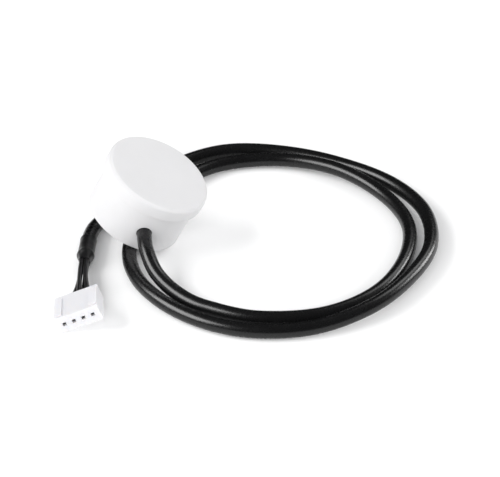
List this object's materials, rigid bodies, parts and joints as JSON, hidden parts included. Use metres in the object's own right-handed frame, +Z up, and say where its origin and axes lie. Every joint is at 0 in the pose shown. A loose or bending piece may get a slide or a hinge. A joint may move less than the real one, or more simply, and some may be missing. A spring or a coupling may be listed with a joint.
{
  "type": "non-contact liquid level sensor",
  "caption": "Small round capacitive level sensor with a flanged flat sensing face, a side cable outlet and a black lead that ends in a small in-line plug.",
  "frame": {"origin": "bottom centre of the bounding box of the sensor itself, without its lead and plug; the floor is Z = 0", "axes": "+Z up from the floor; +X to the right as seen by the viewer, the side to which the tipped sensor leans; +Y away from the viewer"},
  "size_m": [0.0979, 0.0931, 0.0262],
  "materials": {
    "white_housing": "fine satin moulded surface",
    "white_cover": "fine satin moulded surface",
    "black_gasket": "soft matt rubber",
    "clear_pipe": "clear moulded acrylic",
    "copper_foil": "rolled copper foil",
    "plated_spring": "gold-plated spring wire",
    "green_board": "solder resist over glass-epoxy",
    "black_package": "moulded epoxy package with tinned legs",
    "tan_ceramic": "fired ceramic with tinned ends",
    "black_ceramic": "glazed thick film with tinned ends",
    "red_lamp": "tinted clear epoxy",
    "blue_trimmer": "moulded trimmer case",
    "white_rotor": "moulded rotor with a cross slot",
    "black_seal": "soft matt rubber",
    "natural_tie": "natural nylon",
    "black_core": "thin satin insulation",
    "black_sheath": "smooth extruded sheath with a soft sheen",
    "black_sleeve": "shrunk polyolefin, slightly uneven",
    "white_plug": "moulded nylon, slightly translucent",
    "tinned_terminal": "tin-plated phosphor bronze"
  },
  "bodies": {
    "sensor": {"housing": "white_housing", "rear_cover": "white_cover", "cover_gasket": "black_gasket", "light_pipe": "clear_pipe", "sensing_electrode": "copper_foil", "contact_springs": "plated_spring", "main_board": "green_board", "microcontroller": "black_package", "voltage_regulator": "black_package", "output_transistor": "black_package", "protection_diode": "black_package", "chip_capacitors": "tan_ceramic", "chip_resistors": "black_ceramic", "indicator_lamp": "red_lamp", "trimmer_base": "blue_trimmer", "lead_seal": "black_seal", "lead_tie": "natural_tie", "board_wires": "black_core", "sensor_lead": "black_sheath", "shrink_sleeve": "black_sleeve", "core_wire_1": "black_core", "core_wire_2": "black_core", "core_wire_3": "black_core", "core_wire_4": "black_core", "plug_housing": "white_plug", "terminal_1": "tinned_terminal", "terminal_2": "tinned_terminal", "terminal_3": "tinned_terminal", "terminal_4": "tinned_terminal"},
    "rotor": {"trimmer_rotor": "white_rotor"}
  },
  "joints": [
    {"name": "trimmer_turn", "type": "hinge", "parent": "sensor", "child": "rotor", "pos_m": [-0.00457, 0.00592, 0.01192], "axis": [0.446, -0.1195, 0.887], "range_deg": [-130, 130]}
  ]
}
